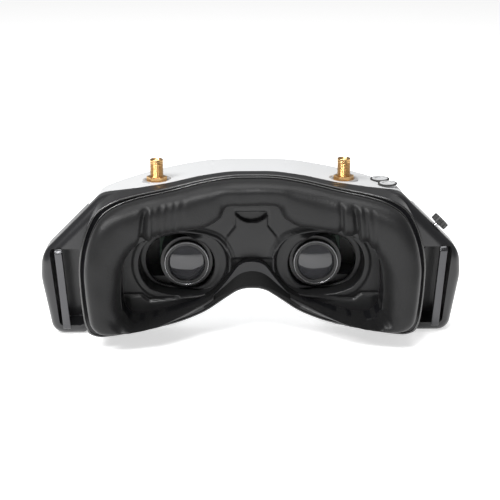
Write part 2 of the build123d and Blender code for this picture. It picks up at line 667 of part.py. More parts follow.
# ---- the whole ----------------------------------------------------------------------
def collect():
    """Fills parts with every node."""
    parts["front_shell"] = front_shell()
    parts["rear_shell"] = rear_shell()
    parts["shell_screws"] = shell_screws()
    parts["faceplate"] = faceplate()
    parts["face_pad"] = face_pad()
    parts["nose_guard"] = nose_guard()
    parts["eye_panel"] = eye_panel()
    parts["bridge_cover"] = bridge_cover()
    parts["guide_rod_upper"] = guide_rod_upper()
    pair("guide_rod_lower", guide_rod_lower())
    pair("strap_bar", bar_solid())
    pair("rod_bracket", rod_bracket())
    pair("lens_barrel", lens_barrel())
    pair("lens", lens())
    pair("lens_ring", lens_ring())
    pair("carriage", carriage())
    pair("display", display())
    pair("display_glass", display_glass())
    pair("display_board", display_board())
    pair("focus_knob", focus_knob())
    pair("focus_pinion", focus_pinion())
    pair("sma_connector", sma_connector())
    pair("sma_dish", sma_dish())
    pair("sma_nut", sma_nut())
    parts["main_board"] = main_board()
    parts["heat_sink"] = heat_sink()
    parts["receiver_board"] = receiver_board()
    parts["receiver_shields"] = receiver_shields()
    for name, (x, y) in BUTTONS.items():
        parts[name] = button_cap(x, y)
        parts[name + "_switch"] = button_switch(x, y)
    parts["button_board"] = button_board()
    parts["dial_stem"] = dial_stem()
    parts["dial_knob"] = dial_knob()
    parts["dial_encoder"] = dial_encoder()
    parts["fan_frame"] = fan_frame()
    parts["fan_rotor"] = fan_rotor()
    parts["power_jack"] = power_jack()
    parts["video_port"] = video_port()


def main():
    """Writes one STEP file per node, with the origin at the bottom centre of the whole."""
    collect()
    box = Compound(list(parts.values())).bounding_box()
    shift = Pos(0, -(box.min.Y + box.max.Y) / 2, -box.min.Z)
    os.makedirs("parts", exist_ok=True)
    for name, shape in parts.items():
        export_step(shift * shape, f"parts/{name}.step")
    print(len(parts), "nodes, size", box.size, "moved by", shift.position)


main()
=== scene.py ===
"""FPV goggles: the looks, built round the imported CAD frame.

Design coordinates, in millimetres, are part.py's own before it moves the whole onto its
base: x towards the wearer's right, y away from the face from the shells' seam, z up.
"""
import math

import bpy
import numpy as np
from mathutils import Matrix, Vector
from mathutils.geometry import delaunay_2d_cdt


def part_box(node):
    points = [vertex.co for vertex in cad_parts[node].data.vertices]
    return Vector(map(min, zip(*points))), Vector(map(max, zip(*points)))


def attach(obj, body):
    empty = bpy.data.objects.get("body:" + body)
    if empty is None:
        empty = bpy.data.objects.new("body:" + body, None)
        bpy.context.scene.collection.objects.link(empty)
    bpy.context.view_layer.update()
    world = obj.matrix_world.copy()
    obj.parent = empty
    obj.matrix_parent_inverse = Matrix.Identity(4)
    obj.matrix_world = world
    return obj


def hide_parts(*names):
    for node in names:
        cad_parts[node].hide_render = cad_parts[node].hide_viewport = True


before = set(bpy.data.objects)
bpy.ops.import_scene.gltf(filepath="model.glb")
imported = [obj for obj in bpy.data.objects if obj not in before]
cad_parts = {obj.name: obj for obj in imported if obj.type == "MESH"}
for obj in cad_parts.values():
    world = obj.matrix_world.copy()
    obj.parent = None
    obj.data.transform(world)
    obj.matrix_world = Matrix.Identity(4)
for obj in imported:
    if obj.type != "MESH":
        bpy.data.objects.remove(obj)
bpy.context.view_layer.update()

BODY = "housing"
MM = 1000                                   # millimetres in a metre
VISOR_FRONT, FLOOR_Z = 47.0, 2.3            # design coordinates of the front and the lowest face, mm
SHIFT = np.array([0.0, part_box("front_shell")[1][1] * MM - VISOR_FRONT, -FLOOR_Z])
SIDES = (("right", 1), ("left", -1))


# ---- geometry helpers ---------------------------------------------------------------
def metres(points):
    """Design millimetres to metres in the row frame."""
    return (np.asarray(points, float) + SHIFT) / MM


def design_box(node):
    """A CAD node's lowest and highest corner, in design millimetres."""
    return np.array(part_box(node)) * MM - SHIFT


def new_object(name, verts, faces, material, smooth=True):
    """A mesh object from vertices in metres."""
    mesh = bpy.data.meshes.new(name)
    mesh.from_pydata([tuple(map(float, v)) for v in verts], [], [tuple(map(int, f)) for f in faces])
    mesh.validate()
    mesh.update()
    obj = bpy.data.objects.new(name, mesh)
    bpy.context.scene.collection.objects.link(obj)
    mesh.materials.append(material)
    for poly in mesh.polygons:
        poly.use_smooth = smooth
    return obj


def grid_faces(rows, cols, wrap_cols=False):
    """Quads of a grid whose vertices run along the columns first."""
    faces = []
    for i in range(rows - 1):
        for j in range(cols if wrap_cols else cols - 1):
            here, beside = i * cols + j, i * cols + (j + 1) % cols
            faces.append((here, beside, beside + cols, here + cols))
    return faces


def end_caps(rows, cols):
    """The first and the last row of such a grid as faces, facing opposite ways."""
    return [tuple(range(cols)), tuple(reversed(range((rows - 1) * cols, rows * cols)))]


def full_turn(count):
    """That many even angles of a whole turn, without its end."""
    return np.linspace(0, 2 * math.pi, count, endpoint=False)


def closed_ring(line):
    """The line with its first point again at its end."""
    return np.vstack([line, line[:1]])


def mirrored(outline):
    """The left half of an outline whose right half is given, so that both make one loop."""
    return [(-x, z) for x, z in reversed(outline)]


CORNER_REACH, LARGEST_ARC, ARC_POINTS = 0.45, 300.0, 9    # share of a side, mm, points per corner


def rounded_outline(corners, step):
    """Points along a closed outline, both halves, with arcs as large as its sides allow."""
    full = list(corners) + mirrored(corners)
    count = len(full)
    points = []
    for k in range(count):
        here = np.array(full[k], float)
        back = np.array(full[k - 1], float) - here
        ahead = np.array(full[(k + 1) % count], float) - here
        b_len, a_len = np.linalg.norm(back), np.linalg.norm(ahead)
        back, ahead = back / b_len, ahead / a_len
        angle = math.acos(np.clip(back @ ahead, -1, 1))
        r = min(LARGEST_ARC, CORNER_REACH * min(a_len, b_len) * math.tan(angle / 2))
        run = r / math.tan(angle / 2)
        centre = here + (back + ahead) / np.linalg.norm(back + ahead) * r / math.sin(angle / 2)
        start, end = here + back * run - centre, here + ahead * run - centre
        turn = math.atan2(start[0] * end[1] - start[1] * end[0], start @ end)
        for t in np.linspace(0, 1, ARC_POINTS):
            c, s = math.cos(turn * t), math.sin(turn * t)
            points.append(centre + np.array([start[0] * c - start[1] * s, start[0] * s + start[1] * c]))
    return resample(np.array(points + points[:1]), step)


def grown(line, amount):
    """A closed line, without its first point again at its end, moved outwards by amount."""
    along = np.roll(line, -1, axis=0) - np.roll(line, 1, axis=0)
    along /= np.linalg.norm(along, axis=1, keepdims=True) + 1e-9
    out = np.stack([-along[:, 1], along[:, 0]], axis=1)
    centre = line.mean(axis=0)
    if ((line - centre) * out).sum() < 0:
        out = -out
    return line + out * amount


def distance(points, outline):
    """Distance to a polyline, and whether each point is inside it if it is closed."""
    best = np.full(len(points), 1e9)
    inside = np.zeros(len(points), bool)
    x, z = points[:, 0], points[:, 1]
    for (ax, az), (bx, bz) in zip(outline[:-1], outline[1:]):
        way = np.array([bx - ax, bz - az])
        t = np.clip(((x - ax) * way[0] + (z - az) * way[1]) / (way @ way + 1e-12), 0, 1)
        best = np.minimum(best, np.hypot(x - ax - t * way[0], z - az - t * way[1]))
        crossing = (az > z) != (bz > z)
        inside ^= crossing & (x < ax + (z - az) * way[0] / (way[1] if abs(way[1]) > 1e-12 else 1e-12))
    return best, inside


def wire(name, points, radius, look, closed=True, body=BODY):
    """A round bead of the given radius (mm) along points in design millimetres."""
    data = bpy.data.curves.new(name, "CURVE")
    data.dimensions = "3D"
    data.bevel_depth = radius / MM
    data.bevel_resolution = 4
    data.use_fill_caps = True
    spline = data.splines.new("POLY")
    spline.points.add(len(points) - 1)
    for place, (x, y, z) in zip(spline.points, metres(points)):
        place.co = (x, y, z, 1)
    spline.use_cyclic_u = closed
    obj = bpy.data.objects.new(name, data)
    bpy.context.scene.collection.objects.link(obj)
    data.materials.append(look)
    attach(obj, body)


def resample(points, step):
    """A line divided evenly, at about that step."""
    gaps = np.linalg.norm(np.diff(points, axis=0), axis=1)
    along = np.concatenate([[0], np.cumsum(gaps)])
    at = np.linspace(0, along[-1], max(2, int(along[-1] / step)))
    return np.stack([np.interp(at, along, points[:, k]) for k in range(points.shape[1])], axis=1)


def smooth_through(points, count):
    """A Catmull-Rom line through the points."""
    p = np.asarray(points, float)
    p = np.vstack([2 * p[0] - p[1], p, 2 * p[-1] - p[-2]])
    spans = len(p) - 3
    out = []
    for t in np.linspace(0, spans - 1e-6, count):
        k = int(t)
        s = t - k
        a, b, c, d = p[k:k + 4]
        out.append(0.5 * (2 * b + (c - a) * s + (2 * a - 5 * b + 4 * c - d) * s ** 2
                          + (3 * b - a - 3 * c + d) * s ** 3))
    return np.array(out)


def bump_shape(value, centre, width):
    """A smooth bump of height 1 at centre."""
    return np.exp(-((value - centre) / width) ** 2)


def ramp(value, low, high):
    """A smooth step from 0 at low to 1 at high."""
    t = np.clip((value - low) / (high - low), 0, 1)
    return t * t * (3 - 2 * t)


# ---- materials ----------------------------------------------------------------------
def material(name, colour, roughness, grain=None, depth=0.0, rough_spread=0.05, edge=0.00025,
             metallic=0.0, coat=0.0, mottle=0.12, sheen=0.0, specular=0.5, grain_kind="noise"):
    """A procedural surface: mottled colour, uneven roughness, fine grain, soft edges."""
    mat = bpy.data.materials.new(name)
    mat.use_nodes = True
    nodes, links = mat.node_tree.nodes, mat.node_tree.links
    shader = nodes["Principled BSDF"]
    shader.inputs["Metallic"].default_value = metallic
    shader.inputs["Coat Weight"].default_value = coat
    shader.inputs["Coat Roughness"].default_value = 0.12
    shader.inputs["Sheen Weight"].default_value = sheen
    shader.inputs["Specular IOR Level"].default_value = specular
    place = nodes.new("ShaderNodeTexCoord")

    patches = nodes.new("ShaderNodeTexNoise")
    patches.inputs["Scale"].default_value = 60
    patches.inputs["Detail"].default_value = 4
    links.new(place.outputs["Object"], patches.inputs["Vector"])
    tint = nodes.new("ShaderNodeMix")
    tint.data_type = "RGBA"
    tint.inputs["A"].default_value = (*[c * (1 - mottle) for c in colour], 1)
    tint.inputs["B"].default_value = (*[min(1, c * (1 + mottle)) for c in colour], 1)
    links.new(patches.outputs["Fac"], tint.inputs["Factor"])
    links.new(tint.outputs["Result"], shader.inputs["Base Color"])

    smear = nodes.new("ShaderNodeTexNoise")
    smear.inputs["Scale"].default_value = 140
    smear.inputs["Detail"].default_value = 6
    links.new(place.outputs["Object"], smear.inputs["Vector"])
    rough = nodes.new("ShaderNodeMapRange")
    rough.inputs["To Min"].default_value = max(0.02, roughness - rough_spread)
    rough.inputs["To Max"].default_value = min(1, roughness + rough_spread)
    links.new(smear.outputs["Fac"], rough.inputs["Value"])
    links.new(rough.outputs["Result"], shader.inputs["Roughness"])

    normal = None
    if edge:
        soft = nodes.new("ShaderNodeBevel")
        soft.samples = 4
        soft.inputs["Radius"].default_value = edge
        normal = soft.outputs["Normal"]
    if grain:
        if grain_kind == "leather":
            texture = nodes.new("ShaderNodeTexVoronoi")
            texture.feature = "SMOOTH_F1"
            height = texture.outputs["Distance"]
        else:
            texture = nodes.new("ShaderNodeTexNoise")
            texture.inputs["Detail"].default_value = 3
            height = texture.outputs["Fac"]
        texture.inputs["Scale"].default_value = grain
        links.new(place.outputs["Object"], texture.inputs["Vector"])
        bump = nodes.new("ShaderNodeBump")
        bump.inputs["Strength"].default_value = 0.6
        bump.inputs["Distance"].default_value = depth
        links.new(height, bump.inputs["Height"])
        if normal:
            links.new(normal, bump.inputs["Normal"])
        normal = bump.outputs["Normal"]
    if normal:
        links.new(normal, shader.inputs["Normal"])
    return mat


WHITE_SHELL = material("visor_plastic", (0.50, 0.505, 0.51), 0.36, 2500, 0.00002, coat=0.1, mottle=0.02)
BLACK_SHELL = material("shell_plastic", (0.008, 0.008, 0.009), 0.30, 2600, 0.00002, coat=0.12,
                       specular=0.4)
FRAME_BLACK = material("frame_plastic", (0.004, 0.004, 0.005), 0.32, 2600, 0.00003, edge=0.0004,
                       specular=0.35)
TRIM = material("trim_plastic", (0.02, 0.02, 0.02), 0.16, 2600, 0.00001, edge=0, coat=0.5)
LEATHER = material("pad_leather", (0.007, 0.007, 0.0073), 0.44, 1500, 0.00010, edge=0, sheen=0.02,
                   specular=0.22, grain_kind="leather", mottle=0.18)
GUARD = material("guard_rubber", (0.004, 0.004, 0.004), 0.75, 1800, 0.00004, edge=0, specular=0.15)
PANEL = material("panel_plastic", (0.013, 0.013, 0.0135), 0.36, 3000, 0.00003, edge=0, specular=0.3)
BARREL = material("barrel_plastic", (0.006, 0.006, 0.006), 0.36, 3000, 0.00003)
BEZEL = material("bezel_metal", (0.34, 0.34, 0.35), 0.20, 3000, 0.000005, metallic=1.0, edge=0)
STEEL = material("steel", (0.55, 0.55, 0.56), 0.30, 3000, 0.00001, metallic=1.0)
GUNMETAL = material("gunmetal", (0.06, 0.06, 0.063), 0.24, 3000, 0.00001, metallic=0.9, coat=0.2)
GOLD = material("gold_plate", (0.80, 0.50, 0.22), 0.20, 3000, 0.00001, metallic=1.0, edge=0.00015)
DISH = material("dish_metal", (0.62, 0.62, 0.63), 0.30, 3000, 0.00001, metallic=0.7, edge=0.0002)
KEY_GREY = material("key_plastic", (0.42, 0.425, 0.43), 0.34, 2500, 0.00002, mottle=0.03)
RUBBER = material("ribbed_rubber", (0.018, 0.018, 0.018), 0.45, 2500, 0.00003)
BOARD = material("circuit_board", (0.012, 0.075, 0.035), 0.45, 900, 0.00003, mottle=0.5, edge=0)
SINK = material("sink_metal", (0.62, 0.62, 0.63), 0.38, 2500, 0.00001, metallic=1.0)
PART_BLACK = material("component_plastic", (0.014, 0.014, 0.014), 0.45, 2500, 0.00003)


def clear_glass(name, colour, roughness, transmission):
    """Coated dark glass."""
    mat = material(name, colour, roughness, edge=0, rough_spread=0.01, mottle=0.05)
    shader = mat.node_tree.nodes["Principled BSDF"]
    shader.inputs["Transmission Weight"].default_value = transmission
    shader.inputs["IOR"].default_value = 1.55
    return mat


LENS_GLASS = clear_glass("lens_glass", (0.10, 0.10, 0.11), 0.04, 0.6)
SCREEN = clear_glass("screen_glass", (0.02, 0.025, 0.04), 0.08, 0.0)

LOOKS = {
    "front_shell": WHITE_SHELL, "rear_shell": BLACK_SHELL, "faceplate": FRAME_BLACK,
    "eye_panel": PANEL, "bridge_cover": PANEL, "carriage": BARREL, "display": PART_BLACK,
    "rod_bracket": PANEL, "lens_barrel": BARREL, "focus_pinion": PART_BLACK, "lens": LENS_GLASS,
    "lens_ring": BARREL, "display_glass": SCREEN, "focus_knob": RUBBER, "dial_knob": RUBBER,
    "strap_bar": GUNMETAL, "sma_connector": GOLD, "sma_nut": GOLD, "sma_dish": DISH,
    "menu_button": KEY_GREY, "record_button": KEY_GREY, "shell_screws": STEEL,
    "guide_rod_upper": STEEL, "guide_rod_lower": STEEL, "dial_stem": STEEL,
    "receiver_shields": STEEL, "main_board": BOARD, "receiver_board": BOARD,
    "button_board": BOARD, "display_board": BOARD, "heat_sink": SINK,
}
for node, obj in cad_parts.items():
    look = LOOKS.get(node) or LOOKS.get(node.rsplit("_", 1)[0], PART_BLACK)
    if not obj.material_slots:
        obj.data.materials.append(look)
    for place in obj.material_slots:
        place.material = look


# ---- camera, light, floor -----------------------------------------------------------
TARGET = Vector(metres((0, 0, 38)))         # what the camera and the lamps point at
CAMERA_TURN, CAMERA_RISE, CAMERA_AWAY = math.radians(-1.5), math.radians(17), 0.62
LENS_LENGTH, SENSOR_WIDTH, LENS_SHIFT = 98.3, 36, (-0.002, 0.004)
WORLD_LIGHT, FLOOR_GLOW, FLOOR_HALF, FLOOR_DROP = 0.26, 0.60, 3.0, 0.0002
LAMPS = (   # name, place, size in metres, power in watts
    ("key", (-0.42, -0.30, 0.55), 0.30, 4.5),
    ("top", (0.05, 0.10, 0.75), 0.50, 3.8),
    ("front", (-0.12, -0.50, 0.62), 0.20, 4.0),
)


def add_camera():
    """The camera, a little to the wearer's left of the middle and above."""
    back = Vector((math.sin(CAMERA_TURN) * math.cos(CAMERA_RISE),
                   -math.cos(CAMERA_TURN) * math.cos(CAMERA_RISE), math.sin(CAMERA_RISE)))
    data = bpy.data.cameras.new("camera")
    data.lens, data.sensor_width = LENS_LENGTH, SENSOR_WIDTH
    data.shift_x, data.shift_y = LENS_SHIFT
    data.clip_start = 0.01
    camera = bpy.data.objects.new("camera", data)
    bpy.context.scene.collection.objects.link(camera)
    camera.location = TARGET + back * CAMERA_AWAY
    camera.rotation_euler = (-back).to_track_quat("-Z", "Y").to_euler()
    bpy.context.scene.camera = camera


def add_light():
    """An even white surround and three area lamps."""
    world = bpy.data.worlds.new("studio")
    world.use_nodes = True
    world.node_tree.nodes["Background"].inputs["Color"].default_value = (1, 1, 1, 1)
    world.node_tree.nodes["Background"].inputs["Strength"].default_value = WORLD_LIGHT
    bpy.context.scene.world = world
    bpy.context.scene.view_settings.view_transform = "Standard"
    for name, place, size, power in LAMPS:
        light = bpy.data.lights.new(name, "AREA")
        light.size, light.energy = size, power
        lamp = bpy.data.objects.new(name, light)
        bpy.context.scene.collection.objects.link(lamp)
        lamp.location = place
        lamp.rotation_euler = (TARGET - Vector(place)).to_track_quat("-Z", "Y").to_euler()


def add_floor():
    """White paper that glows a little, so that it stays white round the part."""
    paper = material("floor_paper", (0.93, 0.93, 0.93), 0.8, 300, 0.00002, mottle=0.01, edge=0)
    shader = paper.node_tree.nodes["Principled BSDF"]
    shader.inputs["Emission Color"].default_value = (1, 1, 1, 1)
    shader.inputs["Emission Strength"].default_value = FLOOR_GLOW
    corners = [(x * FLOOR_HALF, y * FLOOR_HALF, 0) for x, y in ((-1, -1), (1, -1), (1, 1), (-1, 1))]
    ground = new_object("floor", corners, [(0, 1, 2, 3)], paper, smooth=False)
    ground.location.z = -FLOOR_DROP


add_camera()
add_light()
add_floor()


# ---- outlines shared with the CAD ---------------------------------------------------
PANEL_Y = -10.0
PLATE_EDGE_Y, SIDE_WRAP, WRAP_HALF = -16.0, 15.0, 80.0    # at the middle, further back at this half width
PLATE_OUTLINE = [
    (10, 78.2), (23, 76.2), (37, 73.0), (50, 71.0), (60, 68.9), (67.5, 64.8), (71.8, 57), (74.3, 48.5),
    (75.4, 40), (75.0, 27), (73.8, 15), (72, 9.3), (67.5, 7.2), (60, 7.2), (44, 8.8), (31, 11.5),
    (20.5, 15.6), (12, 21.5), (5, 26)]
PAD_OUTLINE = [
    (10, 76.8), (23, 74.7), (36.5, 71.4), (49, 69.4), (58, 67.1), (64.8, 63.2), (69, 56), (71.4, 48),
    (72.6, 40), (72.0, 27), (70.7, 15.5), (67.5, 11.6), (62, 10.9), (44, 12.5), (31, 15.0), (20.5, 19.0),
    (12, 24.2), (5, 28.2)]
INNER_OUTLINE = [
    (12.2, 64.8), (12.8, 59.5), (19, 55.2), (31, 53.8), (43, 51.9), (52.5, 47.3), (56.9, 39), (58, 27),
    (57.2, 17), (53.6, 13.3), (47.5, 12.9), (40, 14.9), (28.5, 18.6), (17.5, 22.4), (10.8, 30), (5, 38.3)]


def face_arc(x, depth=0.0):
    """The faceplate's rear edge in plan, or depth behind it."""
    radius = (WRAP_HALF ** 2 + SIDE_WRAP ** 2) / (2 * SIDE_WRAP)
    return PLATE_EDGE_Y - depth - (radius - np.sqrt(radius ** 2 - np.asarray(x, float) ** 2))


LINE_STEP = 0.4


def half_line(outline):
    """The right half of an outline, from its top on the centre plane to its bottom."""
    points = rounded_outline(outline, LINE_STEP)
    top = int(np.argmax(points[:, 1] - 0.5 * np.abs(points[:, 0])))
    points = np.roll(points[:-1], -top, axis=0)
    keep = points[: len(points) // 2 + 1]
    return keep if keep[len(keep) // 2][0] > 0 else points[::-1][: len(points) // 2 + 1]


def stations(line, anchors, shares, count):
    """Points on a line, spread evenly between its anchors by their shares of the count."""
    index = [int(np.argmin(np.linalg.norm(line - np.array(a), axis=1))) for a in anchors]
    at = np.interp(np.linspace(0, 1, count), shares, index)
    return np.stack([np.interp(at, np.arange(len(line)), line[:, k]) for k in range(2)], axis=1)


OUTER_ANCHORS = [(0, 77), (14, 76.2), (38, 71.1), (57, 67.4), (68, 58), (72.6, 38), (68.5, 12), (44, 12.5),
                 (18, 20.3), (0, 28.5)]
INNER_ANCHORS = [(0, 64.8), (12, 64.4), (31, 53.8), (50, 48.5), (56.5, 41), (58, 27), (54, 13.6), (40, 14.9),
                 (17.5, 22.4), (0, 38.5)]
SHARES = [0, 0.07, 0.22, 0.33, 0.44, 0.54, 0.67, 0.80, 0.91, 1.0]
SMOOTHING = 15                              # stations in the smoothing window, an odd number


def ring_stations(count):
    """Matching outer and inner points, from the top centre down the right side."""
    outer = stations(half_line(PAD_OUTLINE), OUTER_ANCHORS, SHARES, count)
    inner = stations(half_line(INNER_OUTLINE), INNER_ANCHORS, SHARES, count)
    kernel = np.hanning(SMOOTHING)
    kernel /= kernel.sum()
    reach = SMOOTHING // 2
    for line in (outer, inner):
        padded = np.concatenate([line[:reach][::-1] * [-1, 1], line, line[-reach:][::-1] * [-1, 1]])
        line[:] = np.stack([np.convolve(padded[:, k], kernel, "valid") for k in range(2)], axis=1)[:count]
    return outer, inner


# ---- face pad -----------------------------------------------------------------------
PAD_DEPTH, PAD_ROWS, PAD_AROUND = 13.0, 420, 64
PAD_END = 0.915                             # shares of the way from the top centre to the bottom one
THIN_FROM, THINNED_BY = 0.79, 0.70          # the pad thins towards its end
ROLL_FROM, ROLL_FULL = 0.62, 0.72           # the crown moves to the inner edge between these


def pad_section(width, thick, wall, roll, count):
    """The pad's section: (in from the outer edge, back from the faceplate).

    The crown lies near the outer edge, and moves to a full roll at the inner edge as roll nears 1.
    """
    near_outer = np.array([
        (0.35, 0.1), (-0.1, 0.30 * thick), (0.2, 0.62 * thick), (0.13 * width, 0.88 * thick),
        (0.32 * width, thick), (0.55 * width, 0.97 * thick), (0.78 * width, 0.80 * thick),
        (0.93 * width, 0.50 * thick), (0.985 * width, 0.12 * thick)])
    near_inner = np.array([
        (0.35, 0.1), (-0.1, 0.30 * thick), (0.1, 0.55 * thick), (0.10 * width, 0.74 * thick),
        (0.30 * width, 0.88 * thick), (0.58 * width, 0.99 * thick), (0.82 * width, thick),
        (0.97 * width, 0.78 * thick), (1.0 * width, 0.25 * thick)])
    end = np.array([(0.99 * width, -0.5 * wall), (0.985 * width, -wall)])
    return smooth_through(np.vstack([near_outer + (near_inner - near_outer) * roll, end]), count)


def face_pad():
    """The padded ring, open at the nose: a section swept from one end over the brow to the other."""
    outer, inner = ring_stations(PAD_ROWS)
    last = int(PAD_ROWS * PAD_END)
    rows = []
    for share, edge, far in zip(np.linspace(0, PAD_END, last), outer[:last], inner[:last]):
        width = np.linalg.norm(far - edge)
        way = (far - edge) / width
        thick = PAD_DEPTH * (1 - THINNED_BY * ramp(share, THIN_FROM, PAD_END))
        wall = -face_arc(far[0]) + PANEL_Y - 0.4
        section = pad_section(width, thick, wall, ramp(share, ROLL_FROM, ROLL_FULL), PAD_AROUND)
        flat = edge + section[:, :1] * way
        rows.append(np.stack([flat[:, 0], face_arc(flat[:, 0]) - section[:, 1], flat[:, 1]], axis=1))
    right = np.array(rows)
    left = right[1:][::-1] * np.array([-1, 1, 1])
    points = crease(np.concatenate([left, right]))
    faces = grid_faces(len(points), PAD_AROUND) + end_caps(len(points), PAD_AROUND)
    pad = new_object("face_pad_leather", metres(points.reshape(-1, 3)), faces, LEATHER)
    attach(pad, BODY)
    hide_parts("face_pad")


FOLDS = (   # the cover's creases at the brow: x at the lean's centre, width, depth, lean
    (-46.8, 1.3, 2.6, 0.10), (-42.8, 0.9, 0.45, 0.02), (-40.3, 0.8, 0.60, 0.12), (-37.0, 0.9, 0.40, 0.08),
    (-34.6, 0.7, 0.50, 0.13), (-30.9, 0.9, 0.30, 0.10), (38.2, 1.0, 1.2, -0.06), (44.4, 1.3, 2.2, -0.10),
    (48.6, 0.9, 0.8, -0.14), (52.0, 0.9, 0.4, -0.12),
)


FOLD_LOW, LEAN_CENTRE = 45, 58              # z: no fold below the first, no lean at the second
CHEEK_X, CHEEK_Z, CHEEK_REACH = 57, 15, 6   # the slack leather at each lower corner


def crease(points):
    """Folds of the cover at the brow, slack at the cheeks, and faint waves all round."""
    normals = np.cross(np.gradient(points, axis=0), np.gradient(points, axis=1))
    normals /= np.linalg.norm(normals, axis=2, keepdims=True) + 1e-9
    x, z = points[:, :, 0], points[:, :, 2]
    v = np.linspace(0, 1, points.shape[1])[None, :]
    sink = np.zeros_like(x)
    inner_slope = ramp(v, 0.26, 0.42) * (1 - ramp(v, 0.80, 0.92))
    for at, width, deep, lean in FOLDS:
        line = at + lean * (z - LEAN_CENTRE)
        sink += deep * bump_shape(x, line, width) * inner_slope * (z > FOLD_LOW)
        ridge = bump_shape(x, line + 1.9 * width, 1.2 * width)
        sink -= 0.35 * deep * ridge * inner_slope * (z > FOLD_LOW)
    corner = bump_shape(np.hypot(np.abs(x) - CHEEK_X, z - CHEEK_Z), 0, CHEEK_REACH)
    sink += 0.45 * np.sin(x * 1.0 + z * 0.7) * corner * ramp(v, 0.45, 0.6)
    waves = np.sin(x * 0.35) * np.sin(z * 0.4 + x * 0.1)
    sink += 0.12 * waves * ramp(v, 0.1, 0.3) * (1 - ramp(v, 0.7, 0.9))
    outward = np.where((normals @ np.array([0, -1, 0.0]) < 0)[..., None], -normals, normals)
    return points - outward * sink[..., None]


face_pad()


# ---- nose guard ---------------------------------------------------------------------
GUARD_STATIONS, GUARD_START = 400, 0.893    # it starts a little under the end of the pad
GUARD_ROWS, GUARD_ACROSS, GUARD_BACK = 90, 24, 3.6


def evenly(line, count):
    """A line's points again, at that many places evenly spread over their numbers."""
    at, index = np.linspace(0, len(line) - 1, count), np.arange(len(line))
    return np.stack([np.interp(at, index, line[:, k]) for k in range(2)], axis=1)


def nose_guard():
    """The thin flap over the nose, from the panel out to the faceplate's rear edge."""
    first = int(GUARD_STATIONS * GUARD_START)
    outer, inner = [evenly(line[first:], GUARD_ROWS) for line in ring_stations(GUARD_STATIONS)]
    across = np.linspace(0, 1, GUARD_ACROSS)
    rows = []
    for near, far in zip(inner, outer):
        flat = near + (far - near) * across[:, None]
        start, end = PANEL_Y - 0.6, float(face_arc(far[0], GUARD_BACK))
        y = start + (end - start) * across ** 0.8
        rows.append(np.stack([flat[:, 0], y, flat[:, 1]], axis=1))
    right = np.array(rows)
    points = np.concatenate([right, right[:-1][::-1] * np.array([-1, 1, 1])])
    guard = new_object("nose_guard_rubber", metres(points.reshape(-1, 3)),
                       grid_faces(len(points), GUARD_ACROSS), GUARD)
    skin = guard.modifiers.new("skin", "SOLIDIFY")
    skin.thickness, skin.offset = 0.0014, 0.0
    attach(guard, BODY)
    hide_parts("nose_guard")


nose_guard()


# ---- faceplate edges ----------------------------------------------------------------
BEAD_STEP, NOSE_TOP = 0.6, 40


def edge_bead(name, outline, growth, back, radius, gap=0.0):
    """A thin raised edge that follows an outline just behind the faceplate, open at the nose by gap."""
    line = grown(rounded_outline(outline, BEAD_STEP)[:-1], growth)
    if gap:
        keep = ~((np.abs(line[:, 0]) < gap) & (line[:, 1] < NOSE_TOP))
        start = int(np.argmax(~keep)) + int((~keep).sum())
        line = np.roll(line, -start, axis=0)[: int(keep.sum())]
    points = np.stack([line[:, 0], face_arc(line[:, 0], back), line[:, 1]], axis=1)
    wire(name, points, radius, TRIM, closed=not gap)


edge_bead("faceplate_edge", PLATE_OUTLINE, -0.55, 0.1, 0.50)
edge_bead("pad_piping", PAD_OUTLINE, 0.15, 0.9, 0.42, gap=17)


# ---- inner panel with its eye recesses -----------------------------------------------
CUP_X, CUP_Z, CUP_R, CUP_HALF = 30.3, 35.6, 14.9, 5.5     # the mouth of a recess, a long round-ended hole
LENS_X, LENS_Z, TRAVEL, CARRIAGE_R, CARRIAGE_GAP = 29.2, 34.0, 6.0, 11.8, 0.6
BRIDGE = [(7.0, 59.9), (7.3, 53.2), (11.2, 48.2), (10.8, 42.8), (9.6, 38.0)]
LEDGE = [(19.5, 25.5), (23, 22.9), (36, 19.8), (46, 18.9), (49.3, 21.4), (56.8, 21.4)]
LEDGE_FROM, LEDGE_FADES, LEDGE_TO = 18, 54, 57.5
VENT_Z, VENT_R, VENT_DEEP = 64.6, 9.5, 2.4                # the crescent outlet at the bridge's top
PLATE_Y, PLATE_STEP, PLATE_CLEAR, RIM_STEP, RIM_GROWTH = PANEL_Y - 0.1, 0.55, 0.3, 0.7, 1.2
PLATE_X, PLATE_Z = (-60, 60), (11, 67)                    # the range that the plate's grid covers
RECESS_FLOOR, NOSE_RISE, NOSE_SPREAD, TUBE = 0.6, 6.4, 14, 18.0
RECESS_PROFILE = (   # share of the way in and of the way down; what is past 1 runs on as a tube
    (0.0, 0.0), (0.04, 0.10), (0.07, 0.35), (0.12, 0.75), (0.18, 0.95), (0.28, 1.0),
    (0.60, 1.0), (0.90, 1.0), (0.97, 1.02), (1.0, 1.12),
)
RING_POINTS = 96


def slot_ring(x, z, half, radius):
    """A long round-ended ring about (x, z), counter-clockwise."""
    turn = full_turn(RING_POINTS)
    cx = x + half * np.clip(np.cos(turn) * 1.6, -1, 1)
    return np.stack([cx + radius * np.cos(turn), z + radius * np.sin(turn)], axis=1)


def cup_ring(side):
    """The mouth of the recess on one side."""
    return slot_ring(CUP_X, CUP_Z, CUP_HALF, CUP_R) * np.array([side, 1])


